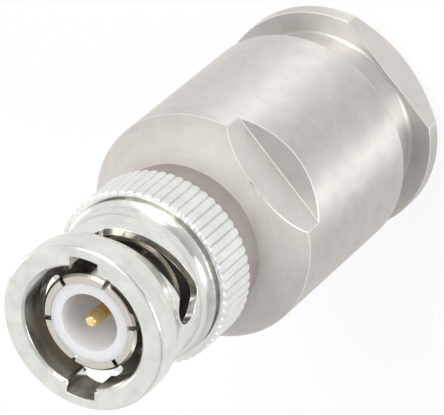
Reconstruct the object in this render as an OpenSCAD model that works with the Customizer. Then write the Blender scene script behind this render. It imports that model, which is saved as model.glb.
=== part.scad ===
// Bayonet coaxial plug, cable-clamp pattern for a 10.3 mm coaxial cable.
// It stands on the flat rear end of its clamp nut, with the mating face up.
// Z = 0 is the rear end, Z is the common axis, and the wrench flats face +X and -X.

/* [Overall] */
// Length from the rear end to the mating face
plug_len = 43; // [42.8:0.1:43.4]
// Outside diameter of the body
body_d = 19; // [18.8:0.1:19.4]
// Distance across the wrench flats of the body and of the clamp nut
across_flats = 16; // [15.8:0.1:16.4]
// Diameter of the cable's jacket
cable_d = 10.3; // [10.1:0.1:10.4]

/* [Coupling nut] */
// Angle of the first bayonet entry about the axis, in degrees
entry_angle = 44; // [0:1:90]
// Outside diameter of the front ring
ring_d = 13.7; // [13.4:0.1:13.9]
// Length of the front ring
ring_len = 2.25; // [1.8:0.05:2.5]
// Radius that rounds the ring's front edge
ring_round = 0.25; // [0.15:0.05:0.35]
// Length of the cone behind the front ring
ring_cone_len = 1.65; // [1.4:0.05:1.9]
// Outside diameter of the tube that holds the cam slots
cam_tube_d = 12.3; // [12.2:0.1:12.6]
// Length of the straight part of that tube
cam_tube_len = 3.25; // [3:0.05:3.5]
// Length of the cove behind the tube
cove_len = 1.3; // [1.1:0.05:1.5]
// Depth of the cove below a straight cone
cove_dip = 0.25; // [0.1:0.05:0.3]
// Length of the shoulder behind the cove
shoulder_len = 0.25; // [0.15:0.05:0.35]
// Radial step from the knurl down to the shoulder
shoulder_step = 0.57; // [0.45:0.01:0.65]
// Length of the groove between shoulder and knurl
relief_len = 0.3; // [0.2:0.05:0.4]
// Depth of that groove
relief_depth = 0.23; // [0.1:0.01:0.3]
// Bore that takes the mating jack
nut_bore_d = 10.2; // [10.1:0.05:10.4]
// Length of the front lip, from the mating face to the recess behind it
lip_len = 2.5; // [2.4:0.05:2.6]
// Wall left round that recess, where the cam slots cut through
recess_wall = 0.62; // [0.6:0.01:0.7]
// Diameter across the two bayonet entry grooves
entry_d = 12; // [11.9:0.05:12.1]
// Width of the cam slots and entry grooves
slot_w = 2.4; // [2.2:0.05:2.5]
// Turn from entry to detent, in degrees
cam_turn = 80; // [70:1:90]
// Turn from the cam's lowest point to the detent, in degrees
detent_turn = 9; // [6:1:12]
// Depth below the mating face where the cam leaves the entry groove
cam_start_depth = 3.9; // [3.8:0.05:4]
// Depth below the mating face of the cam's lowest point
cam_lowest_depth = 5.85; // [5.7:0.05:5.9]
// Depth below the mating face of the detent's centre
detent_depth = 5.2; // [5:0.1:5.4]
// Number of teeth on the knurl
knurl_teeth = 60; // [48:1:72]
// Length of the knurl
knurl_len = 4.04; // [3.6:0.1:4.2]
// Depth of the knurl's grooves
knurl_depth = 0.32; // [0.2:0.02:0.4]
// Chamfer at each end of the knurl
knurl_chamfer = 0.3; // [0.2:0.05:0.4]
// Depth of the rear pocket for the spring and its washers
pocket_depth = 3.65; // [3.5:0.05:3.8]
// Wall between that pocket and the tips of the knurl
pocket_wall = 1.3; // [1.2:0.05:1.5]

/* [Coupling spring] */
// Forward travel of the coupling nut against its spring
nut_travel = 0.7; // [0.3:0.1:0.8]
// Height of the wave spring when it is squeezed solid
spring_solid_h = 0.65; // [0.5:0.05:0.7]
// Radial width of the wave spring's strip
spring_w = 0.85; // [0.8:0.05:1]
// Thickness of the wave spring's strip
spring_t = 0.2; // [0.15:0.05:0.25]
// Number of waves round the spring
spring_waves = 3; // [3:1:4]
// Thickness of the washer under the spring
washer_t = 0.4; // [0.3:0.05:0.45]
// Thickness of the split retaining ring
retaining_ring_t = 0.5; // [0.4:0.05:0.5]
// Depth of the groove that holds the retaining ring
retaining_groove = 0.4; // [0.3:0.05:0.5]
// Gap between the ends of the retaining ring
retaining_ring_gap = 1.2; // [1:0.1:2]

/* [Contacts] */
// Outside diameter of the slotted outer contact
outer_contact_d = 8.06; // [8:0.02:8.2]
// Wall of the slotted outer contact
outer_contact_wall = 0.71; // [0.65:0.01:0.75]
// Depth of the outer contact's front end below the mating face
contact_depth = 1.03; // [0.9:0.01:1.2]
// Depth of the insulator's front end below the mating face
insulator_depth = 1.07; // [1:0.01:1.3]
// Depth of the pin's tip below the mating face
pin_depth = 1.2; // [1:0.05:1.6]
// Number of slots in the outer contact
finger_slots = 6; // [4:2:8]
// Angle of the first of those slots about the axis, in degrees
finger_angle = 24; // [0:1:60]
// Width of those slots
finger_slot_w = 0.37; // [0.3:0.01:0.5]
// Length of those slots
finger_len = 5.9; // [5.5:0.1:6]
// Thickness of the barrel's flange
barrel_flange_t = 0.8; // [0.7:0.05:0.9]
// Length of the barrel in front of its flange
barrel_nose_len = 0.9; // [0.8:0.05:1]
// Step from the barrel down to the shank that is pressed into the body
shank_step = 0.3; // [0.2:0.05:0.35]
// Length of that shank
shank_len = 4.4; // [4:0.1:4.6]
// Thickness of the silicone gasket
gasket_t = 0.8; // [0.7:0.05:0.9]
// Diameter of the centre pin
pin_d = 1.15; // [1:0.01:1.2]
// Length of the pin's rounded point
pin_point_len = 1.3; // [1:0.05:1.4]
// Diameter of the pin's end
pin_end_d = 0.5; // [0.4:0.02:0.6]
// Step from the pin to its root
pin_root_step = 0.3; // [0.25:0.01:0.35]
// Hole for the cable's inner conductor
conductor_d = 2.4; // [2.2:0.05:2.5]
// Wall of the cup round the inner conductor
cup_wall = 0.5; // [0.4:0.05:0.6]
// Radial width of the collar on the centre contact
collar_w = 0.6; // [0.5:0.05:0.7]
// Thickness of that collar
collar_t = 1; // [0.8:0.05:1.1]
// Diameter of the solder hole in the cup
solder_hole_d = 0.8; // [0.6:0.05:0.9]
// Bore of the front insulator
socket_d = 4.8; // [4.75:0.05:4.9]
// Depth of that bore
socket_depth = 5.8; // [5.5:0.1:6]
// Radial width of the front insulator's flange
insulator_flange_w = 0.6; // [0.5:0.05:0.65]
// Length from the barrel's flange to the insulator's flange
insulator_flange_drop = 1.7; // [1.6:0.1:2]

/* [Body] */
// Gap between the coupling nut and the body
nut_gap = 0.3; // [0.25:0.05:0.4]
// Diameter of the neck behind the coupling nut
body_neck_d = 12.96; // [12.6:0.02:13.2]
// Length of the neck
neck_len = 2.52; // [2.4:0.02:2.7]
// Length of the rounded nose
nose_len = 2.74; // [2.5:0.02:3]
// Bulge of the rounded nose above a straight cone
nose_bulge = 0.4; // [0:0.05:0.5]
// Length of the flats behind the rounded nose
flat_len = 1.75; // [1.6:0.05:2]
// Length of the sloping wall at the flats' rear end
flat_ramp = 0.92; // [0.8:0.02:1.1]
// Diameter of the pocket for the insulators
insulator_pocket_d = 11.3; // [11.2:0.05:11.4]
// Length of the rear insulator
rear_insulator_len = 3.5; // [3.4:0.1:3.7]
// Diameter of the bore for the clamping parts
clamp_bore_d = 14.4; // [14.2:0.05:14.5]
// Length of the internal thread
thread_len = 6.6; // [6.4:0.1:7]

/* [Clamp nut] */
// Diameter of the plain shank and of the thread
shank_d = 15.5; // [15.3:0.1:15.6]
// Length of the shank between flange and body
shank_gap = 4.37; // [4.2:0.01:4.6]
// How far the flange stands out past the body
flange_stand = 0.12; // [0:0.01:0.3]
// Length of the flange's round edge
flange_len = 1.34; // [1.2:0.02:1.6]
// Fillet between the shank and the flange
flange_fillet = 0.3; // [0.2:0.05:0.4]
// Length of the cone behind the flange
rear_cone_len = 2.6; // [2.4:0.05:2.8]
// Diameter of the flat rear end
rear_d = 14.4; // [14:0.1:15]
// Depth of the reliefs at the ends of the thread
thread_relief = 0.55; // [0.4:0.05:0.6]
// Gap between the nut's nose and the end of the internal thread
nose_gap = 0.5; // [0.4:0.05:0.7]

/* [Cable clamp] */
// Thickness of the slip washer
slip_washer_t = 0.7; // [0.6:0.05:0.9]
// Thickness of the braid clamp's flange
braid_flange_t = 1; // [0.9:0.05:1.2]
// Length of the braid clamp
braid_clamp_len = 3.6; // [3.4:0.1:4]
// Hole for the cable's dielectric
dielectric_d = 7.5; // [7.3:0.05:7.6]
// Wall of the braid clamp's sleeve at its rear end
sleeve_wall = 0.45; // [0.4:0.05:0.5]
// Depth of the undercut behind the braid clamp's flange
braid_undercut = 0.6; // [0.5:0.05:0.7]

/* [Fits] */
// Radial clearance where one metal part turns or slides in another
running_fit = 0.05; // [0.03:0.01:0.08]
// Radial clearance round parts that are dropped in or pushed in
loose_fit = 0.1; // [0.05:0.01:0.12]
// Gap left where two faces rest against each other across a joint
stop_gap = 0.02; // [0.01:0.01:0.03]
// Chamfer that breaks the outer edges
edge_break = 0.13; // [0.05:0.01:0.2]
// Chamfer at the mouth of a bore
mouth_chamfer = 0.2; // [0.1:0.05:0.25]

/* [Hidden] */
$fn = 96;
eps = 0.01;
cam_steps = 9;

// Radii of the coupling nut, from the barrel that it turns on outwards
bore_r = nut_bore_d / 2;
barrel_r = bore_r - 2 * loose_fit;
spring_inner_r = barrel_r + loose_fit;
spring_outer_r = spring_inner_r + spring_w;
pocket_r = spring_outer_r + loose_fit;
knurl_r = pocket_r + pocket_wall;
shoulder_r = knurl_r - shoulder_step;
relief_r = shoulder_r - relief_depth;
slot_r = slot_w / 2;
recess_r = cam_tube_d / 2 - recess_wall;

// Heights of the coupling nut, from the mating face down
ring_bottom = plug_len - ring_len;
tube_top = ring_bottom - ring_cone_len;
cove_top = tube_top - cam_tube_len;
shoulder_z = cove_top - cove_len;
shoulder_bottom = shoulder_z - shoulder_len;
knurl_top = shoulder_bottom - relief_len;
nut_rear = knurl_top - knurl_len;
pocket_top = nut_rear + pocket_depth;

// Heights of what the nut pulls on
barrel_flange_top = pocket_top - stop_gap;
barrel_flange_bottom = barrel_flange_top - barrel_flange_t;
washer_top = barrel_flange_bottom - nut_travel - spring_solid_h;
retaining_ring_top = washer_top - washer_t;
retaining_ring_bottom = retaining_ring_top - retaining_ring_t;

// Heights and radii inside the front of the plug
contact_front = plug_len - contact_depth;
insulator_front = plug_len - insulator_depth;
pin_tip = plug_len - pin_depth;
finger_root = contact_front - finger_len;
gasket_seat = barrel_flange_top + barrel_nose_len;
contact_base_top = gasket_seat + gasket_t + mouth_chamfer;
socket_floor = insulator_front - socket_depth;
insulator_step = barrel_flange_bottom - insulator_flange_drop;
outer_contact_r = outer_contact_d / 2;
contact_base_r = outer_contact_r + 2 * loose_fit;
contact_bore_r = outer_contact_r - outer_contact_wall;
insulator_flange_r = contact_bore_r + insulator_flange_w;
contact_body_r = conductor_d / 2 + loose_fit;
cup_r = conductor_d / 2 + cup_wall;
pin_r = pin_d / 2;
pin_root_r = pin_r + pin_root_step;
pin_root_bottom = barrel_flange_top;

// Heights of the body
body_r = body_d / 2;
flat_x = across_flats / 2;
shank_r = barrel_r - shank_step;
body_front = nut_rear - nut_gap;
nose_top = body_front - neck_len;
nose_bottom = nose_top - nose_len;
flat_end = nose_bottom - flat_len;
flat_crest = flat_end - flat_ramp;
contact_seat = body_front - shank_len;
collar_bottom = contact_seat - 2 * loose_fit;
collar_top = collar_bottom + collar_t;
insulator_pocket_r = insulator_pocket_d / 2;
clamp_floor = collar_bottom - rear_insulator_len;
cup_rear = clamp_floor - conductor_d;
clamp_bore_r = clamp_bore_d / 2;

// Heights of the clamp nut and of what it squeezes
flange_r = body_r + flange_stand;
flange_bottom = rear_cone_len;
flange_top = flange_bottom + flange_len;
body_rear = flange_top + shank_gap;
thread_r = shank_d / 2;
thread_end = body_rear + thread_len;
nut_nose = thread_end - nose_gap;
cable_hole_r = cable_d / 2 + 2 * loose_fit;
slip_washer_bottom = nut_nose + stop_gap;
slip_washer_top = slip_washer_bottom + slip_washer_t;
clamp_ring_r = clamp_bore_r - loose_fit;
dielectric_r = dielectric_d / 2;
braid_clamp_top = clamp_floor - stop_gap;
braid_flange_bottom = braid_clamp_top - braid_flange_t;
braid_clamp_rear = braid_clamp_top - braid_clamp_len;
braid_undercut_z = braid_flange_bottom - braid_undercut;

// A ring about the axis, from inner radius to outer radius
module ring(inner, outer, bottom, top) {
    rotate_extrude()
        translate([inner, bottom]) square([outer - inner, top - bottom]);
}

// A cylinder about the axis, for drilling
module bore(radius, bottom, top) {
    translate([0, 0, bottom]) cylinder(r = radius, h = top - bottom);
}

// Points of an arc from a to b that bulges to the left of the line by rise
function arc(a, b, rise, steps) =
    let (chord = norm(b - a), dir = (b - a) / chord, side = [-dir[1], dir[0]],
        radius = chord * chord / (8 * rise) + rise / 2,
        centre = (a + b) / 2 + side * (rise - radius),
        half = asin(chord / 2 / radius))
    [for (i = [0:steps])
        let (t = half * (1 - 2 * i / steps))
        centre + radius * (side * cos(t) - dir * sin(t))];

// Depth of the cam's centre line at a turn from the entry: down the helix, then up into the detent
function cam_depth(turn) =
    let (lowest_turn = cam_turn - detent_turn)
    turn < lowest_turn
        ? cam_start_depth + (cam_lowest_depth - cam_start_depth) * turn / lowest_turn
        : cam_lowest_depth - (cam_lowest_depth - detent_depth) * (turn - lowest_turn) / detent_turn;

// Triangles between two four-cornered sections whose first points are numbers a and b
function band(a, b) =
    [for (k = [0:3])
        let (next = (k + 1) % 4)
        for (f = [[a + k, a + next, b + next], [a + k, b + next, b + k]]) f];

// Centre of the cutter after a number of equal steps along the cam: distance round the tube and height
function cam_point(step) =
    let (turn = cam_turn * step / cam_steps)
    [turn * PI / 360 * cam_tube_d, -cam_depth(turn)];

// The cam cutter: a chain of short straight cuts, each milled square to the tube at its own middle
module cam_cutter() {
    inner = bore_r - slot_r / 2;
    outer = ring_d / 2 + slot_r / 2;
    for (step = [0:cam_steps - 1]) {
        from = cam_point(step);
        to = cam_point(step + 1);
        middle = cam_turn * (step + 0.5) / cam_steps;
        run = norm(to - from);
        rotate([0, 0, -middle])
            translate([inner, 0, plug_len + (from[1] + to[1]) / 2])
                rotate([90, 0, 90])
                    linear_extrude(outer - inner)
                        rotate(atan2(to[1] - from[1], from[0] - to[0])) slot_outline(run, slot_r);
    }
}

// Outline of a round-ended slot, as long between its end centres as run
module slot_outline(run, radius) {
    square([run, 2 * radius], center = true);
    for (side = [-1, 1]) translate([side * run / 2, 0]) circle(radius, $fn = 48);
}

// The knurl: a toothed outline, with its ends turned down
module knurl() {
    root_r = knurl_r - knurl_depth;
    pitch = 360 / knurl_teeth;
    groove = pitch / 5;
    intersection() {
        translate([0, 0, nut_rear]) linear_extrude(knurl_len)
            polygon([for (i = [0:knurl_teeth - 1]) for (p = [[knurl_r, -pitch / 2 + groove],
                    [knurl_r, pitch / 2 - groove], [root_r, pitch / 2]])
                p[0] * [cos(i * pitch + p[1]), sin(i * pitch + p[1])]]);
        rotate_extrude()
            polygon([[0, nut_rear], [knurl_r - knurl_chamfer, nut_rear],
                [knurl_r + eps, nut_rear + knurl_chamfer], [knurl_r + eps, knurl_top - knurl_chamfer],
                [knurl_r - knurl_chamfer, knurl_top], [0, knurl_top]]);
    }
}

// Bayonet nut: front ring, slotted tube with a recess inside, cove, shoulder and knurled grip
module coupling_nut() {
    ring_r = ring_d / 2;
    color("#DCDDD8") difference() {
        union() {
            rotate_extrude()
                polygon(concat([[0, knurl_top - eps], [relief_r, knurl_top - eps],
                        [relief_r, shoulder_bottom], [shoulder_r, shoulder_bottom]],
                    arc([shoulder_r, shoulder_z], [cam_tube_d / 2, cove_top], cove_dip, 6),
                    [[cam_tube_d / 2, tube_top], [ring_r, ring_bottom]],
                    arc([ring_r, plug_len - ring_round], [ring_r - ring_round, plug_len],
                        ring_round * (sqrt(0.5) - 1), 4),
                    [[0, plug_len]]));
            knurl();
        }
        bore(bore_r, pocket_top - eps, plug_len + 1);
        bore(recess_r, contact_base_top, plug_len - lip_len);
        bore(pocket_r, nut_rear - 1, pocket_top);
        bore(pocket_r + retaining_groove, retaining_ring_bottom - stop_gap, retaining_ring_top + stop_gap);
        translate([0, 0, plug_len - mouth_chamfer])
            cylinder(r1 = bore_r - eps, r2 = bore_r + mouth_chamfer, h = mouth_chamfer + eps);
        for (side = [0, 180]) rotate([0, 0, entry_angle + side]) {
            cam_cutter();
            intersection() {
                bore(entry_d / 2, plug_len - cam_start_depth - slot_r, plug_len + 1);
                translate([0, -slot_r, plug_len - cam_start_depth]) cube([entry_d, slot_w, plug_len]);
            }
        }
    }
}

// Split ring that snaps into the nut and carries the washer and spring
module nut_retaining_ring() {
    color("#B9B6AF") difference() {
        ring(barrel_r + 2 * loose_fit, pocket_r + retaining_groove - running_fit,
            retaining_ring_bottom, retaining_ring_top);
        translate([0, -retaining_ring_gap / 2, 0]) cube([body_d, retaining_ring_gap, plug_len]);
    }
}

// Flat washer that slides with the nut under the spring
module thrust_washer() {
    color("#C9C6BF")
        ring(spring_inner_r, spring_outer_r, retaining_ring_top, washer_top - stop_gap);
}

// Wave washer between the flat washer and the barrel's flange
module wave_spring() {
    middle = (washer_top + barrel_flange_bottom) / 2;
    swing = (barrel_flange_bottom - washer_top - spring_t) / 2 - stop_gap;
    steps = 72;
    points = [for (i = [0:steps - 1])
        let (a = i * 360 / steps, z = middle + swing * sin(spring_waves * a))
        for (p = [[spring_inner_r, -1], [spring_outer_r, -1], [spring_outer_r, 1], [spring_inner_r, 1]])
            [p[0] * cos(a), p[0] * sin(a), z + p[1] * spring_t / 2]];
    faces = [for (i = [0:steps - 1]) each band(4 * i, 4 * ((i + 1) % steps))];
    color("#A9A7A2") polyhedron(points, faces, convexity = 6);
}

// Slotted outer contact, with the barrel and flange that carry the coupling nut
module outer_contact() {
    color("#C8C4BC") difference() {
        rotate_extrude()
            polygon([[0, contact_seat], [shank_r - running_fit, contact_seat],
                [shank_r - running_fit, body_front], [barrel_r, body_front],
                [barrel_r, barrel_flange_bottom], [spring_outer_r, barrel_flange_bottom],
                [spring_outer_r, barrel_flange_top], [barrel_r, barrel_flange_top],
                [barrel_r, gasket_seat], [contact_base_r, gasket_seat],
                [contact_base_r, contact_base_top], [outer_contact_r, contact_base_top],
                [outer_contact_r, contact_front - mouth_chamfer],
                [outer_contact_r - mouth_chamfer, contact_front], [0, contact_front]]);
        bore(contact_bore_r, insulator_step - eps, plug_len);
        bore(insulator_flange_r, contact_seat - 1, insulator_step);
        for (i = [0:finger_slots - 1])
            rotate([0, 0, finger_angle + i * 360 / finger_slots])
                translate([0, -finger_slot_w / 2, finger_root]) cube([body_d, finger_slot_w, plug_len]);
    }
}

// Silicone gasket at the bottom of the mating socket
module interface_gasket() {
    color("#2F2E2C")
        ring(contact_base_r, barrel_r, gasket_seat, gasket_seat + gasket_t);
}

// Front insulator: a deep socket round the pin, with a flange that stops it going forward
module front_insulator() {
    color("#E6E6E8") difference() {
        union() {
            bore(contact_bore_r, insulator_step - eps, insulator_front);
            bore(insulator_flange_r, collar_top, insulator_step);
        }
        bore(socket_d / 2, socket_floor, plug_len);
        bore(pin_root_r, collar_top - 1, plug_len);
        bore(contact_body_r, collar_top - 1, pin_root_bottom);
    }
}

// Rear insulator: a disc that traps the contact's collar
module rear_insulator() {
    color("#E6E6E8") difference() {
        bore(insulator_pocket_r, clamp_floor, collar_bottom);
        bore(cup_r, clamp_floor - 1, plug_len);
    }
}

// Gold-plated pin, with a collar held between the insulators and a cup for the conductor
module centre_contact() {
    collar_r = cup_r + collar_w;
    pin_end_r = pin_end_d / 2;
    pin_bottom = socket_floor + loose_fit;
    color("#D8B364") difference() {
        rotate_extrude()
            polygon([[0, cup_rear], [cup_r, cup_rear], [cup_r, collar_bottom], [collar_r, collar_bottom],
                [collar_r, collar_top], [contact_body_r, collar_top],
                [contact_body_r, pin_root_bottom], [pin_root_r, pin_root_bottom],
                [pin_root_r, pin_bottom], [pin_r, pin_bottom],
                [pin_r, pin_tip - pin_point_len], [pin_end_r, pin_tip - pin_end_r / 3],
                [pin_end_r * 2 / 3, pin_tip], [0, pin_tip]]);
        bore(conductor_d / 2, cup_rear - 1, collar_bottom - collar_w);
        translate([0, 0, clamp_floor - solder_hole_d])
            rotate([0, 90, 0]) cylinder(d = solder_hole_d, h = 2 * cup_r, $fn = 32);
    }
}

// Body: neck, rounded nose with two wrench flats, and the bore for the clamping parts
module body_shell() {
    neck_r = body_neck_d / 2;
    color("#CFCBC7") difference() {
        rotate_extrude()
            polygon(concat([[0, body_rear], [body_r - edge_break, body_rear],
                    [body_r, body_rear + edge_break]],
                nose_bulge > 0
                    ? arc([body_r, nose_bottom], [neck_r, nose_top], -nose_bulge, 12)
                    : [[body_r, nose_bottom], [neck_r, nose_top]],
                [[neck_r, body_front - edge_break], [neck_r - edge_break, body_front], [0, body_front]]));
        bore(shank_r, contact_seat - eps, body_front + 1);
        bore(insulator_pocket_r, clamp_floor - eps, contact_seat);
        bore(clamp_bore_r, thread_end - eps, clamp_floor);
        bore(thread_r + running_fit, body_rear - 1, thread_end);
        for (side = [0, 180]) rotate([90, 0, side])
            translate([0, 0, -body_r]) linear_extrude(body_d)
                polygon([[flat_x, flat_end], [body_r, flat_crest], [body_d, flat_crest],
                    [body_d, plug_len], [flat_x, plug_len]]);
    }
}

// Ferrule that the braid is folded over, with a wedge that bites the cable gasket
module braid_clamp() {
    sleeve_r = dielectric_r + sleeve_wall;
    color("#CDC7B8") rotate_extrude()
        polygon([[dielectric_r, braid_clamp_rear], [sleeve_r, braid_clamp_rear],
            [sleeve_r + braid_undercut / 2, braid_undercut_z - braid_undercut / 2],
            [clamp_ring_r - 2 * braid_undercut, braid_undercut_z],
            [clamp_ring_r - braid_undercut, braid_undercut_z],
            [clamp_ring_r, braid_flange_bottom], [clamp_ring_r, braid_clamp_top],
            [dielectric_r, braid_clamp_top]]);
}

// Rubber gasket that grips the cable jacket, with a shoulder under the braid clamp
module cable_gasket() {
    gasket_r = cable_d / 2;
    top = braid_undercut_z - stop_gap;
    color("#4A4743") rotate_extrude()
        polygon([[gasket_r, slip_washer_top], [clamp_ring_r, slip_washer_top], [clamp_ring_r, top],
            [clamp_ring_r - 2 * braid_undercut, top], [gasket_r, top - braid_undercut / 2]]);
}

// Washer that lets the clamp nut turn without twisting the gasket
module slip_washer() {
    color("#C9C6BF")
        ring(cable_hole_r + 2 * loose_fit, clamp_ring_r, slip_washer_bottom, slip_washer_top - stop_gap);
}

// Clamp nut: threaded nose, plain shank and a flange with two wrench flats
module clamp_nut() {
    relief_low = body_rear + nose_gap;
    relief_high = relief_low + 2 * thread_relief;
    root_r = thread_r - thread_relief;
    color("#D3CFCB") difference() {
        rotate_extrude()
            polygon(concat([[0, 0], [rear_d / 2, 0], [flange_r, flange_bottom], [flange_r, flange_top]],
                arc([thread_r + flange_fillet, flange_top], [thread_r, flange_top + flange_fillet],
                    flange_fillet * (1 - sqrt(0.5)), 4),
                [[thread_r, relief_low], [root_r, relief_low + thread_relief / 2],
                    [root_r, relief_high - thread_relief / 2], [thread_r, relief_high],
                    [thread_r, nut_nose - thread_relief], [root_r, nut_nose], [0, nut_nose]]));
        bore(cable_hole_r, -1, plug_len);
        for (side = [0, 180]) rotate([0, 0, side])
            translate([flat_x, -body_d, -1])
                cube([body_d, 2 * body_d, flange_top + flange_fillet + 1]);
    }
}

body_shell();
outer_contact();
front_insulator();
rear_insulator();
centre_contact();
interface_gasket();
wave_spring();
braid_clamp();
cable_gasket();
thrust_washer();
coupling_nut();
nut_retaining_ring();
slip_washer();
clamp_nut();
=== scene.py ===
"""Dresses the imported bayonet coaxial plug: its finishes, the knurl, the clamp thread, stage and camera."""
import math

import bmesh
import bpy
from mathutils import Matrix, Vector


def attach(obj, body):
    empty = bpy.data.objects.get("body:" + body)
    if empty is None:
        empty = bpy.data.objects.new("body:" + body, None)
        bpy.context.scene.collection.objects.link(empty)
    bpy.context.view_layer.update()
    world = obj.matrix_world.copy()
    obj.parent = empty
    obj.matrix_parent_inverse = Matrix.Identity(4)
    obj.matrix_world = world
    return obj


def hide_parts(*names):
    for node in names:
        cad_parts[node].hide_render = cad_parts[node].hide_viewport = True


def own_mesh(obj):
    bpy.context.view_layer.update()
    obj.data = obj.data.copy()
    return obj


bl_info = {
    "name": "Bayonet coaxial plug",
    "version": (1, 0, 0),
    "blender": (4, 5, 0),
    "location": "View3D > Sidebar > Plug",
    "description": "Builds the finishes and the fine detail of a bayonet coaxial plug round its CAD frame",
    "category": "Object",
}

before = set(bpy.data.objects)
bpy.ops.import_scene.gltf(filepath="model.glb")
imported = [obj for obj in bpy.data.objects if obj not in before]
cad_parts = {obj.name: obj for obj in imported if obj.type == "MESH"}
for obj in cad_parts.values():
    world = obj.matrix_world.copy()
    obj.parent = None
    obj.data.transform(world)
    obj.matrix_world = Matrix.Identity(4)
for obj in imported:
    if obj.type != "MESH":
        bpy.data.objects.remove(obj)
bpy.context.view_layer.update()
MM = 0.001

# Patterns shared by the plated finishes, in mm.
PATCH_MM = 1 / 0.7
HAIRLINE_LENGTH_MM = 1 / 0.35
HAIRLINE_WIDTH_MM = 1 / 6.0
SHADOW_EDGE_MM = 0.12
# Bend, in degrees, from which an edge of a close-faceted piece stays sharp.
FINE_SHARP = 12
# The worn edge finish, paler as a painted highlight, is the second in a piece's list.
WORN_HIGHLIGHT = 1


# ---------------------------------------------------------------- helpers


def linear(code):
    """An sRGB hex colour as linear red, green, blue and alpha."""
    values = [int(code[i : i + 2], 16) / 255 for i in (1, 3, 5)]
    return [v / 12.92 if v <= 0.04045 else ((v + 0.055) / 1.055) ** 2.4 for v in values] + [1.0]


def in_mm(tree, place):
    """A place in metres as one in mm."""
    return add(tree, "ShaderNodeVectorMath", {0: place, 1: (1 / MM,) * 3}, operation="MULTIPLY").outputs[0]


def add(tree, kind, inputs=None, **settings):
    """A node with its settings, and with its sockets given a value or a link."""
    node = tree.nodes.new(kind)
    for name, value in settings.items():
        setattr(node, name, value)
    for name, value in (inputs or {}).items():
        if isinstance(value, bpy.types.NodeSocket):
            tree.links.new(value, node.inputs[name])
        else:
            node.inputs[name].default_value = value
    return node


def new_material(name):
    """An empty node material, with its tree and its output node."""
    material = bpy.data.materials.new(name)
    material.use_nodes = True
    tree = material.node_tree
    tree.nodes.clear()
    return material, tree, tree.nodes.new("ShaderNodeOutputMaterial")


def lathe_coordinates(tree):
    """Distance from the axis and height in mm, so that a pattern in them runs round the axis."""
    place = add(tree, "ShaderNodeTexCoord").outputs["Object"]
    parts = add(tree, "ShaderNodeSeparateXYZ", {0: place})
    flat = add(tree, "ShaderNodeCombineXYZ", {"X": parts.outputs["X"], "Y": parts.outputs["Y"]})
    radius = add(tree, "ShaderNodeVectorMath", {0: flat.outputs[0]}, operation="LENGTH")
    pair = add(tree, "ShaderNodeCombineXYZ", {"X": radius.outputs["Value"], "Y": parts.outputs["Z"]})
    return in_mm(tree, pair.outputs[0])


def body_coordinates(tree):
    """Places on the piece in mm."""
    return in_mm(tree, add(tree, "ShaderNodeTexCoord").outputs["Object"])


def spread(tree, value, low, high):
    """A value from 0 to 1, taken to the range from low to high."""
    return add(tree, "ShaderNodeMapRange", {"Value": value, "To Min": low, "To Max": high}).outputs["Result"]


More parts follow.
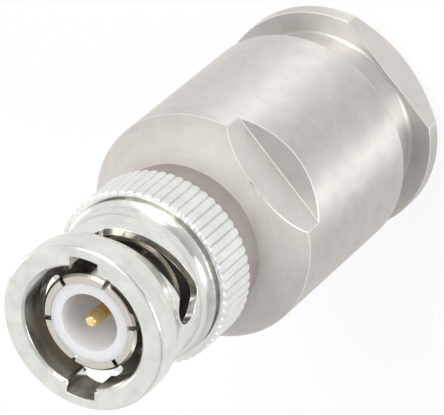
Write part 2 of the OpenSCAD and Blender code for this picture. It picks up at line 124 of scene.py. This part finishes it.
def plated_metal(
    name, colour, roughness, feed_mm, feed_height, ripple_mm, ripple_height, edge_mm,
    patchiness=0.05, grain=0.0, streaks=0.0, painted_shade=None,
):
    """A plated metal with turning marks round the axis, a soft ripple, and patches of other gloss.

    Sizes are in mm. A depth of painted shade is a shadow's colour, the radius it fills, and the heights it
    runs between; it darkens the base colour there.
    """
    material, tree, output = new_material(name)
    lathe = lathe_coordinates(tree)
    place = body_coordinates(tree)
    # A lathe's feed leaves marks of 0.05 to 0.1 mm, too fine to show, so the feeds given here are coarser.
    turned = add(
        tree, "ShaderNodeTexNoise", {"Vector": lathe, "Scale": 1 / feed_mm, "Detail": 2.0}
    ).outputs["Fac"]
    ripple = add(
        tree, "ShaderNodeTexNoise", {"Vector": place, "Scale": 1 / ripple_mm, "Detail": 1.0}
    ).outputs["Fac"]
    patches = add(
        tree, "ShaderNodeTexNoise", {"Vector": place, "Scale": 1 / PATCH_MM, "Detail": 3.0}
    ).outputs["Fac"]
    rounded = add(tree, "ShaderNodeBevel", {"Radius": edge_mm * MM}, samples=6)
    waves = add(
        tree,
        "ShaderNodeBump",
        {"Height": ripple, "Distance": ripple_height * MM, "Strength": 1.0, "Normal": rounded.outputs[0]},
    )
    marks = add(
        tree,
        "ShaderNodeBump",
        {"Height": turned, "Distance": feed_height * MM, "Strength": 1.0, "Normal": waves.outputs[0]},
    )
    round_axis = add(tree, "ShaderNodeTangent", direction_type="RADIAL", axis="Z")
    # Handling leaves hairlines under 0.05 mm wide, drawn wider here because those are too fine to show.
    hairline_scale_and_neck_shade = (1 / HAIRLINE_LENGTH_MM, 1 / HAIRLINE_LENGTH_MM, 1 / HAIRLINE_WIDTH_MM)
    stretched = add(tree, "ShaderNodeVectorMath", {0: place, 1: hairline_scale_and_neck_shade}, operation="MULTIPLY")
    hairlines = add(tree, "ShaderNodeTexNoise", {"Vector": stretched.outputs[0], "Scale": 1.0, "Detail": 3.0})
    both = add(
        tree, "ShaderNodeMath", {0: patches, 1: 2.0, 2: hairlines.outputs["Fac"]}, operation="MULTIPLY_ADD"
    )
    tone = add(
        tree, "ShaderNodeMapRange",
        {
            "Value": both.outputs[0], "From Min": 1.1, "From Max": 1.9,
            "To Min": 1 - streaks, "To Max": 1 + streaks,
        },
    )
    shade = add(
        tree, "ShaderNodeVectorMath", {0: colour[:3], "Scale": tone.outputs["Result"]}, operation="SCALE"
    )
    shader = add(
        tree,
        "ShaderNodeBsdfPrincipled",
        {
            "Base Color": shade.outputs[0],
            "Metallic": 1.0,
            "Roughness": spread(tree, patches, roughness - patchiness, roughness + patchiness),
            "Anisotropic": grain,
            "Anisotropic Rotation": 0.25,
            "Normal": marks.outputs[0],
            "Tangent": round_axis.outputs[0],
        },
    )
    # Painted shade: the base colour turns to the shadow's colour inside a radius and further down.
    if painted_shade:
        shadow_colour, reach_mm, from_mm, to_mm = painted_shade
        parts = add(tree, "ShaderNodeSeparateXYZ", {0: lathe})
        shaded_radius = add(
            tree, "ShaderNodeMapRange",
            {
                "Value": parts.outputs["X"], "From Min": reach_mm, "From Max": reach_mm + SHADOW_EDGE_MM,
                "To Min": 1.0, "To Max": 0.0,
            },
        )
        shaded_height = add(
            tree, "ShaderNodeMapRange",
            {"Value": parts.outputs["Y"], "From Min": from_mm, "From Max": to_mm},
        )
        both = add(
            tree, "ShaderNodeMath", {0: shaded_radius.outputs["Result"], 1: shaded_height.outputs["Result"]},
            operation="MULTIPLY",
        )
        mixed = add(
            tree, "ShaderNodeMix",
            {"Factor": both.outputs[0], 6: shade.outputs[0], 7: linear(shadow_colour)}, data_type="RGBA",
        )
        tree.links.new(mixed.outputs[2], shader.inputs["Base Color"])
    tree.links.new(shader.outputs[0], output.inputs["Surface"])
    return material


def polymer(name, colour, roughness, grain_mm, grain_height, subsurface=0.0):
    """A turned or moulded polymer: one colour with a fine grain."""
    material, tree, output = new_material(name)
    grain = add(
        tree, "ShaderNodeTexNoise", {"Vector": body_coordinates(tree), "Scale": 1 / grain_mm, "Detail": 2.0}
    ).outputs["Fac"]
    bump = add(tree, "ShaderNodeBump", {"Height": grain, "Distance": grain_height * MM})
    shader = add(
        tree,
        "ShaderNodeBsdfPrincipled",
        {
            "Base Color": colour,
            "Roughness": spread(tree, grain, roughness - 0.05, roughness + 0.05),
            "Normal": bump.outputs[0],
            "Subsurface Weight": subsurface,
            "Subsurface Radius": (1.0, 1.0, 1.0),
            "Subsurface Scale": 1.2 * MM,
        },
    )
    tree.links.new(shader.outputs[0], output.inputs["Surface"])
    return material


def finish_node(name, material):
    """Gives a CAD node its finish."""
    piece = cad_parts[name]
    if not piece.material_slots:
        piece.data.materials.append(material)
    for slot in piece.material_slots:
        slot.material = material


def new_piece(name, bm, body, material, sharp=20, edges=None):
    """An object from a bmesh, smooth but for its sharp edges, that rides on a body and wears a finish."""
    mesh = bpy.data.meshes.new(name)
    bmesh.ops.recalc_face_normals(bm, faces=bm.faces)
    bm.to_mesh(mesh)
    bm.free()
    mesh.shade_smooth()
    mesh.set_sharp_from_angle(angle=math.radians(sharp))
    for finish in filter(None, (material, edges)):
        mesh.materials.append(finish)
    piece = bpy.data.objects.new(name, mesh)
    bpy.context.scene.collection.objects.link(piece)
    # Flat faces stay flat right up to a rounded edge.
    piece.modifiers.new("flat_faces", "WEIGHTED_NORMAL").keep_sharp = True
    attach(piece, body)
    return piece


def mill(piece, material, test):
    """Gives another finish to the unrounded faces of a piece that pass a test of centre in mm and normal."""
    piece.data.materials.append(material)
    last = len(piece.data.materials) - 1
    for face in piece.data.polygons:
        if face.material_index != WORN_HIGHLIGHT and test(face.center / MM, face.normal):
            face.material_index = last


def soften(piece, from_mm, least):
    """Smooths the edges of a piece above a height that bend less than an angle, such as a rounded lip."""
    bm = bmesh.new()
    bm.from_mesh(piece.data)
    for edge in bm.edges:
        if all(v.co.z / MM > from_mm for v in edge.verts) and edge.calc_face_angle(0) < math.radians(least):
            edge.smooth = True
    bm.to_mesh(piece.data)
    bm.free()


def clean_copy(node, join_mm=0.0005):
    """A bmesh of a CAD node with its seams joined and its flat faces whole."""
    bm = bmesh.new()
    bm.from_mesh(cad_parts[node].data)
    bmesh.ops.remove_doubles(bm, verts=bm.verts, dist=join_mm * MM)
    bmesh.ops.dissolve_limit(
        bm, angle_limit=math.radians(0.2), use_dissolve_boundaries=False, verts=bm.verts, edges=bm.edges,
        delimit=set(),
    )
    return bm


def round_edges(bm, width, test, least=20):
    """Rounds the edges that bend more than an angle and pass a test, in the worn finish with its painted
    highlight.
    """
    edges = [
        e for e in bm.edges
        if len(e.link_faces) == 2 and e.calc_face_angle(0) > math.radians(least) and test(e)
    ]
    bmesh.ops.bevel(
        bm, geom=edges, offset=width, offset_type="OFFSET", segments=3, profile=0.5, affect="EDGES",
        clamp_overlap=False, material=WORN_HIGHLIGHT,
    )


def turn_down(bm, radius_mm, from_mm=-math.inf, to_mm=math.inf):
    """Pulls in what stands out past a radius between two heights, to go under a finer surface."""
    for v in bm.verts:
        r = math.hypot(v.co.x, v.co.y) / MM
        if r > radius_mm and from_mm < v.co.z / MM < to_mm:
            v.co.x *= radius_mm / r
            v.co.y *= radius_mm / r


def turned(name, rows, count, radius, inner, body, slot, material):
    """A turned piece whose surface follows radius(angle, height) in mm over the rows of heights.

    It is a ring with an inner radius, or solid with flat ends where that is 0.
    """
    bm = bmesh.new()

    def ring(z, r):
        angles = [math.tau * i / count for i in range(count)]
        return [bm.verts.new((r(a) * math.cos(a) * MM, r(a) * math.sin(a) * MM, z * MM)) for a in angles]

    rings = [ring(z, lambda a, z=z: radius(a, z)) for z in rows]
    if inner:
        rings += [ring(z, lambda a: inner) for z in (rows[-1], rows[0])]
        rings.append(rings[0])
    else:
        bm.faces.new(rings[0][::-1])
        bm.faces.new(rings[-1])
    for low, high in zip(rings, rings[1:]):
        for i in range(count):
            j = (i + 1) % count
            bm.faces.new((low[i], low[j], high[j], high[i]))
    return new_piece(name, bm, body, material, 40)


# ---------------------------------------------------------------- settings


def colour_setting(name, description, code):
    """A colour that a user can change, with an sRGB hex default."""
    return bpy.props.FloatVectorProperty(
        name=name, description=description, subtype="COLOR", size=4, min=0, max=1, default=linear(code),
    )


class PlugFinishes(bpy.types.PropertyGroup):
    """Colours of the plug's finishes and the width of its rounded edges."""

    bright_nickel: colour_setting("Bright nickel", "Colour of the coupling nut", "#DCDCD7")
    # Paler than the bright nickel: a painted sheen.
    knurl_nickel_sheen: colour_setting("Knurl nickel", "Colour of the knurled grip", "#E4E5E1")
    satin_nickel: colour_setting("Satin nickel", "Colour of the body and the clamp nut", "#CDC9C5")
    contact_nickel: colour_setting("Contact nickel", "Colour of the outer contact", "#CBC6BD")
    gold: colour_setting("Gold", "Colour of the pin", "#E3BC6C")
    ptfe: colour_setting("PTFE", "Colour of the insulators", "#ECECEF")
    edge: bpy.props.FloatProperty(
        name="Rounded edge", description="Width of the rounded edges of the body and the clamp nut",
        subtype="DISTANCE", unit="LENGTH", default=0.07 * MM, min=0.01 * MM,
    )


class PlugStage(bpy.types.PropertyGroup):
    """Camera and floor of the stage."""

    lens: bpy.props.FloatProperty(
        name="Lens", description="Focal length on a 36 mm sensor, in mm", unit="CAMERA", default=380.07,
        min=1,
    )
    paper: colour_setting("Paper", "Colour of the floor", "#FCFCFC")


# ---------------------------------------------------------------- pieces


class PLUG_OT_stage(bpy.types.Operator):
    """Floor, lamps, world and camera"""

    bl_idname = "plug.stage"
    bl_label = "Stage"

    def execute(self, context):
        scene = context.scene
        scene.view_settings.view_transform = "Standard"

        camera_data = bpy.data.cameras.new("stage_camera")
        camera_data.lens = scene.plug_stage.lens
        camera_data.sensor_width = 36
        camera_data.clip_end = 10
        camera = bpy.data.objects.new("stage_camera", camera_data)
        right = (0.63349, -0.60758, -0.47910)
        up = (0.45044, 0.79304, -0.41011)
        back = (0.62912, 0.04399, 0.77606)
        place = (0.230791, 0.016231, 0.305767)
        rows = [list(row) for row in zip(right, up, back, place)]
        camera.matrix_world = Matrix(rows + [[0, 0, 0, 1]])
        scene.collection.objects.link(camera)
        scene.camera = camera

        # The world: white to the camera and in reflections, and softer as light.
        world = bpy.data.worlds.new("studio_white")
        world.use_nodes = True
        tree = world.node_tree
        tree.nodes.clear()
        path = add(tree, "ShaderNodeLightPath")
        mirrored = add(
            tree, "ShaderNodeMath",
            {0: path.outputs["Is Glossy Ray"], 1: path.outputs["Is Transmission Ray"]},
            operation="MAXIMUM",
        )
        direction = add(tree, "ShaderNodeTexCoord").outputs["Generated"]
        # One side of the room is darker, so that the metal has something to reflect.
        away = add(
            tree, "ShaderNodeVectorMath", {0: direction, 1: (-0.75, 0.35, 0.55)}, operation="DOT_PRODUCT"
        )
        tone = add(
            tree, "ShaderNodeMapRange",
            {
                "Value": away.outputs["Value"], "From Min": -0.8, "From Max": 0.8,
                "To Min": 0.45, "To Max": 1.05,
            },
        )
        reflected = add(tree, "ShaderNodeMapRange", {"Value": mirrored.outputs[0], "To Min": 0.55})
        tree.links.new(tone.outputs["Result"], reflected.inputs["To Max"])
        strength = add(tree, "ShaderNodeMapRange", {"Value": path.outputs["Is Camera Ray"], "To Max": 1.0})
        tree.links.new(reflected.outputs["Result"], strength.inputs["To Min"])
        sky = add(
            tree, "ShaderNodeBackground", {"Color": (1, 1, 1, 1), "Strength": strength.outputs["Result"]}
        )
        add(tree, "ShaderNodeOutputWorld", {"Surface": sky.outputs[0]})
        scene.world = world

        # The floor: white paper, partly lit by itself to the camera and in reflections.
        # Matt paper scatters light evenly, so the shadow on it is soft and has no shine.
        material, tree, output = new_material("paper_matt_white")
        path = add(tree, "ShaderNodeLightPath")
        seen = add(
            tree, "ShaderNodeMath", {0: path.outputs["Is Camera Ray"], 1: path.outputs["Is Glossy Ray"]},
            operation="MAXIMUM",
        )
        also = add(
            tree, "ShaderNodeMath", {0: seen.outputs[0], 1: path.outputs["Is Transmission Ray"]},
            operation="MAXIMUM",
        )
        unseen = spread(tree, also.outputs[0], 0.0, 0.6)
        to_camera = add(
            tree, "ShaderNodeMath", {0: path.outputs["Is Camera Ray"], 1: 0.25}, operation="MULTIPLY"
        )
        share = add(tree, "ShaderNodeMath", {0: unseen, 1: to_camera.outputs[0]}, operation="ADD").outputs[0]
        paper = add(tree, "ShaderNodeBsdfDiffuse", {"Color": scene.plug_stage.paper[:]})
        glow = add(tree, "ShaderNodeEmission", {"Color": (1, 1, 1, 1), "Strength": 1.0})
        mixed = add(tree, "ShaderNodeMixShader", {0: share, 1: paper.outputs[0], 2: glow.outputs[0]})
        tree.links.new(mixed.outputs[0], output.inputs["Surface"])
        mesh = bpy.data.meshes.new("stage_floor")
        reach = 3.0
        corners = [(-reach, -reach, 0), (reach, -reach, 0), (reach, reach, 0), (-reach, reach, 0)]
        mesh.from_pydata(corners, [], [(0, 1, 2, 3)])
        mesh.materials.append(material)
        floor = bpy.data.objects.new("stage_floor", mesh)
        scene.collection.objects.link(floor)

        lamps = (
            ("stage_key", (0.46, -0.36, 0.16), 0.26, 1.5),
            ("stage_side", (0.4, 0.44, 0.2), 0.26, 0.75),
            ("stage_rim", (-0.5, 0.4, 0.2), 0.22, 0.6),
            ("stage_top", (0.19, 0.315, 0.505), 0.4, 1.7),
        )
        for name, spot, size, power in lamps:
            data = bpy.data.lights.new(name, "AREA")
            data.shape = "DISK"
            data.size = size
            data.energy = power
            lamp = bpy.data.objects.new(name, data)
            lamp.location = spot
            aim = Vector((0, 0, 0.02)) - Vector(spot)
            lamp.rotation_euler = aim.to_track_quat("-Z", "Y").to_euler()
            scene.collection.objects.link(lamp)
        return {"FINISHED"}


class PLUG_OT_coupling(bpy.types.Operator):
    """The bayonet nut with its knurled grip, and the finish of its spring and washers"""

    bl_idname = "plug.coupling"
    bl_label = "Coupling nut"

    def execute(self, context):
        finishes = context.scene.plug_finishes
        # Bright nickel over brass, barrel plated: mirror-like with a soft ripple, so reflections waver.
        # The bore's colour is darkened with its depth, a painted shade, so that it reads as deep.
        bright = plated_metal(
            "nickel_bright_plated_brass", finishes.bright_nickel, roughness=0.22, feed_mm=0.3,
            feed_height=0.0008, ripple_mm=1.8, ripple_height=0.08, edge_mm=0.08, patchiness=0.06, grain=0.3,
            streaks=0.08, painted_shade=("#7A7268", 5.15, 42.9, 41.5),
        )
        # The grip's ends, the radii of its grooves and crests, and its inner radius, in mm.
        low, high = (29.96, 34.0)
        root, crest = (7.09, 7.25)
        core = 6.45
        groove_gap = 0.19
        bm = clean_copy("coupling_nut")
        bmesh.ops.triangulate(bm, faces=[face for face in bm.faces if len(face.verts) > 4])
        turn_down(bm, root - groove_gap, to_mm=high + 0.01)
        nut = new_piece("bayonet_nut", bm, "coupling", bright, sharp=FINE_SHARP)
        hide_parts("coupling_nut")
        # Bright nickel over a cut knurl: its many small faces break the reflections into an even shine, and
        # its colour, paler than the nut's, is a painted sheen.
        grip_finish = plated_metal(
            "nickel_knurled_painted_sheen", finishes.knurl_nickel_sheen, roughness=0.48, feed_mm=0.3,
            feed_height=0.0006, ripple_mm=0.5, ripple_height=0.006, edge_mm=0.04, patchiness=0.06,
            streaks=0.05,
        )

        # The knurl: straight teeth with rounded ends.
        teeth = 60
        pitch = math.tau * crest / teeth
        end = 0.26
        crest_half, flank = (0.28, 0.09)
        end_roundness = 1.3
        middle, half = ((low + high) / 2, (high - low) / 2 - end)

        def tooth(angle, height):
            """Flat crest with smooth flanks, rounded off at both ends."""
            across = ((angle * teeth / math.tau + 0.5) % 1 - 0.5) * pitch
            along = max(0.0, abs(height - middle) - half)
            out = math.hypot(across, along * end_roundness)
            t = min(1.0, max(0.0, (out - crest_half) / flank))
            return crest - (crest - root) * t * t * (3 - 2 * t)

        # Rows lie close together at the rounded ends and far apart between them.
        steps = (0.01, 0.04, 0.08, 0.12, 0.16, 0.2, 0.25, 0.3, 0.36, 1.2)
        rows = [low + d for d in steps] + [middle] + [high - d for d in reversed(steps)]
        around = teeth * 16
        grip = turned(
            "bayonet_nut_knurl", rows, around, tooth, core, "coupling", "bright_nickel", grip_finish
        )
        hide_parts("coupling_nut")
        # Spring steel stamped from rolled strip: grey, with a plain, fairly sharp sheen.
        steel = plated_metal(
            "spring_steel_stamped", linear("#B9B6AF"), roughness=0.32, feed_mm=0.4, feed_height=0.0006,
            ripple_mm=1.4, ripple_height=0.004, edge_mm=0.04,
        )
        for name in ("nut_retaining_ring", "thrust_washer"):
            finish_node(name, steel)
        # The wave spring flattens against the contact's flange as the nut is pulled forward; here it is built
        # in its rest shape only.
        spring = new_piece("wave_spring_stamped", clean_copy("wave_spring"), "body", steel)
        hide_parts("wave_spring")
        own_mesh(spring)
        return {"FINISHED"}


class PLUG_OT_body(bpy.types.Operator):
    """The body and the clamp nut with its thread, and the finish of what they hold"""

    bl_idname = "plug.body"
    bl_label = "Body"

    def execute(self, context):
        finishes = context.scene.plug_finishes
        # Satin nickel over turned brass: fine grooves round the axis draw highlights out along it.
        satin = plated_metal(
            "nickel_satin_turned_brass", finishes.satin_nickel, roughness=0.5, feed_mm=0.28,
            feed_height=0.0012, ripple_mm=0.7, ripple_height=0.002, edge_mm=0.05, grain=0.85, streaks=0.05,
        )
        # The flats are milled and the nose is faced: duller, and alike from every side. The neck's colour
        # is greyer and darker: painted shade in its recess.
        milled, faced, hairline_scale_and_neck_shade = [
            plated_metal(
                name, linear(colour), roughness=roughness, feed_mm=0.3, feed_height=0.002, ripple_mm=0.6,
                ripple_height=0.003, edge_mm=0.05, streaks=streaks,
            )
            for name, colour, roughness, streaks in (
                ("nickel_satin_milled_brass", "#D2CECA", 0.55, 0.03),
                ("nickel_matt_faced_brass", "#C6C2BE", 0.75, 0.05),
                ("nickel_painted_shade_neck", "#ADA8A2", 0.6, 0.06),
            )
        ]
        # Nickel rubbed by handling leaves the edges smoother than what lies between them; their paler colour
        # is a painted highlight.
        worn_highlight = plated_metal(
            "nickel_worn_painted_highlight_edges", linear("#DEDBD6"), roughness=0.45, feed_mm=0.3, feed_height=0.0006,
            ripple_mm=0.6, ripple_height=0.002, edge_mm=0.02,
        )
        # Distance of the wrench flats from the axis, and where nose and neck begin, in mm.
        flat_low, flat_edge, flat_high = (7.9, 7.95, 8.05)
        nose_from, neck_from, neck_inside = (24.45, 27.1, 5)
        facing_x = 0.98

        def outer(edge):
            """Edges that stand out, and the ones round the flats."""
            return edge.is_convex or all(abs(v.co.x) / MM > flat_edge for v in edge.verts)

        def on_flat(centre, normal):
            return abs(normal.x) > facing_x and flat_low < abs(centre.x) < flat_high

        bm = clean_copy("body_shell", 0.02)
        round_edges(bm, finishes.edge, outer)
        body = new_piece("body_turned", bm, "body", satin, edges=worn_highlight)
        mill(body, milled, on_flat)
        mill(body, faced, lambda c, n: nose_from < c.z < neck_from and abs(n.x) < facing_x)
        # The neck gets the painted shade.
        mill(body, hairline_scale_and_neck_shade, lambda c, n: c.z > neck_from and math.hypot(c.x, c.y) > neck_inside)
        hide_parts("body_shell")

        # The clamp thread's radii and ends, and the top of the nut's flange, in mm.
        root, crest = (7.2, 7.75)
        low, high = (9.64, 14.4)
        flange_top = 3.98
        bm = clean_copy("clamp_nut")
        turn_down(bm, root, from_mm=low)
        round_edges(bm, finishes.edge, lambda e: e.verts[0].co.z / MM < flange_top and outer(e))
        nut = new_piece("clamp_nut_turned", bm, "clamp", satin, edges=worn_highlight)
        mill(nut, milled, on_flat)
        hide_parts("clamp_nut")

        def thread(angle, height):
            """Right-handed ridge with a pitch of 1 mm, which runs out at both ends."""
            x = (height - angle / math.tau) % 1
            ridge = min(1.0, max(0.0, 1.2 - abs(2.6 * x - 1.3)))
            fade = min(1.0, max(0.0, (height - low) / 0.5), max(0.0, (high - height) / 0.6))
            return root + 0.01 + (crest - root - 0.01) * ridge * fade

        rows = [low + (high - low) * i / 60 for i in range(61)]
        ridge = turned("clamp_nut_thread", rows, 96, thread, root - 0.4, "clamp", "satin_nickel", satin)
        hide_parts("clamp_nut")
        for name in ("braid_clamp", "slip_washer"):
            finish_node(name, satin)
        # Moulded rubber: black and dull, with a faint grain.
        rubber = polymer("rubber_black_moulded", linear("#2A2928"), 0.6, 0.3, 0.01)
        finish_node("cable_gasket", rubber)
        return {"FINISHED"}


class PLUG_OT_contacts(bpy.types.Operator):
    """The contacts, the insulators and the gasket"""

    bl_idname = "plug.contacts"
    bl_label = "Contacts"

    def execute(self, context):
        finishes = context.scene.plug_finishes
        # Nickel over turned bronze: warmer than the nut, with a fairly sharp gloss.
        contact = plated_metal(
            "nickel_plated_spring_bronze", finishes.contact_nickel, roughness=0.26, feed_mm=0.25,
            feed_height=0.0008, ripple_mm=0.8, ripple_height=0.006, edge_mm=0.05, grain=0.3, streaks=0.04,
        )
        # Gold over turned brass: a deep yellow with a soft, wide highlight.
        gold = plated_metal(
            "gold_plated_brass", finishes.gold, roughness=0.38, feed_mm=0.2, feed_height=0.0008,
            ripple_mm=1.2, ripple_height=0.002, edge_mm=0.03,
        )
        # Turned PTFE: waxy white that lets a little light in, so that its edges look soft.
        white = polymer("ptfe_turned_white", finishes.ptfe[:], 0.45, 0.3, 0.003, 0.5)
        # Height where the rounded lips begin, and where the pin's plain cone is cut off, in mm.
        lip_from, cone_end = (41.3, 41)
        for node, name, slot, material in (
            ("outer_contact", "contact_slotted", "plated_contact", contact),
            ("centre_contact", "pin_turned", "gold_plating", gold),
            ("front_insulator", "insulator_turned", "ptfe", white),
        ):
            bm = clean_copy(node)
            if node == "centre_contact":
                # The plain cone goes out of sight inside the pin's point.
                for v in bm.verts:
                    if v.co.z / MM > cone_end:
                        v.co = (v.co.x / 2, v.co.y / 2, cone_end * MM)
            piece = new_piece(name, bm, "body", material, sharp=FINE_SHARP)
            soften(piece, lip_from, 35)
            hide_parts(node)

        # The pin's point, as full as a bullet and cut off flat.
        low, high, end = (40.45, 41.8, 0.3)
        shank = 0.579

        def point(angle, height):
            """Full at the shank, and down to the flat end in a curve."""
            t = (height - low) / (high - low)
            return end + (shank - end) * math.sqrt(max(0.0, 1 - t ** 2.4))

        rows = [low + (high - low) * (1 - (1 - i / 16) ** 1.6) for i in range(17)]
        # The point is polished to slide into its socket, so it is smoother than the shank; its paler,
        # brighter colour is a painted highlight.
        point_highlight = plated_metal(
            "gold_point_painted_highlight", linear("#F2D897"), roughness=0.3, feed_mm=0.2, feed_height=0.0008,
            ripple_mm=1.2, ripple_height=0.002, edge_mm=0.06,
        )
        tip = turned("pin_point", rows, 48, point, 0, "body", "gold_plating", point_highlight)
        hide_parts("centre_contact")
        finish_node("rear_insulator", white)
        # Moulded silicone: near black with a slight gloss, and no marks of a tool.
        silicone = polymer("silicone_moulded_black", linear("#2F2E2C"), 0.5, 0.3, 0.006)
        finish_node("interface_gasket", silicone)
        return {"FINISHED"}


class PLUG_PT_panel(bpy.types.Panel):
    """The operators that build the plug"""

    bl_idname = "PLUG_PT_panel"
    bl_label = "Bayonet plug"
    bl_space_type = "VIEW_3D"
    bl_region_type = "UI"
    bl_category = "Plug"

    def draw(self, context):
        for operator in OPERATORS:
            self.layout.operator(operator.bl_idname)


OPERATORS = (PLUG_OT_stage, PLUG_OT_coupling, PLUG_OT_body, PLUG_OT_contacts)
CLASSES = (PlugFinishes, PlugStage) + OPERATORS + (PLUG_PT_panel,)


def register():
    for item in CLASSES:
        bpy.utils.register_class(item)
    bpy.types.Scene.plug_finishes = bpy.props.PointerProperty(type=PlugFinishes)
    bpy.types.Scene.plug_stage = bpy.props.PointerProperty(type=PlugStage)


def unregister():
    del bpy.types.Scene.plug_stage
    del bpy.types.Scene.plug_finishes
    for item in reversed(CLASSES):
        bpy.utils.unregister_class(item)


def main():
    """Builds the stage and the pieces in order."""
    register()
    bpy.ops.plug.stage()
    bpy.ops.plug.coupling()
    bpy.ops.plug.body()
    bpy.ops.plug.contacts()


if __name__ == "__main__":
    main()
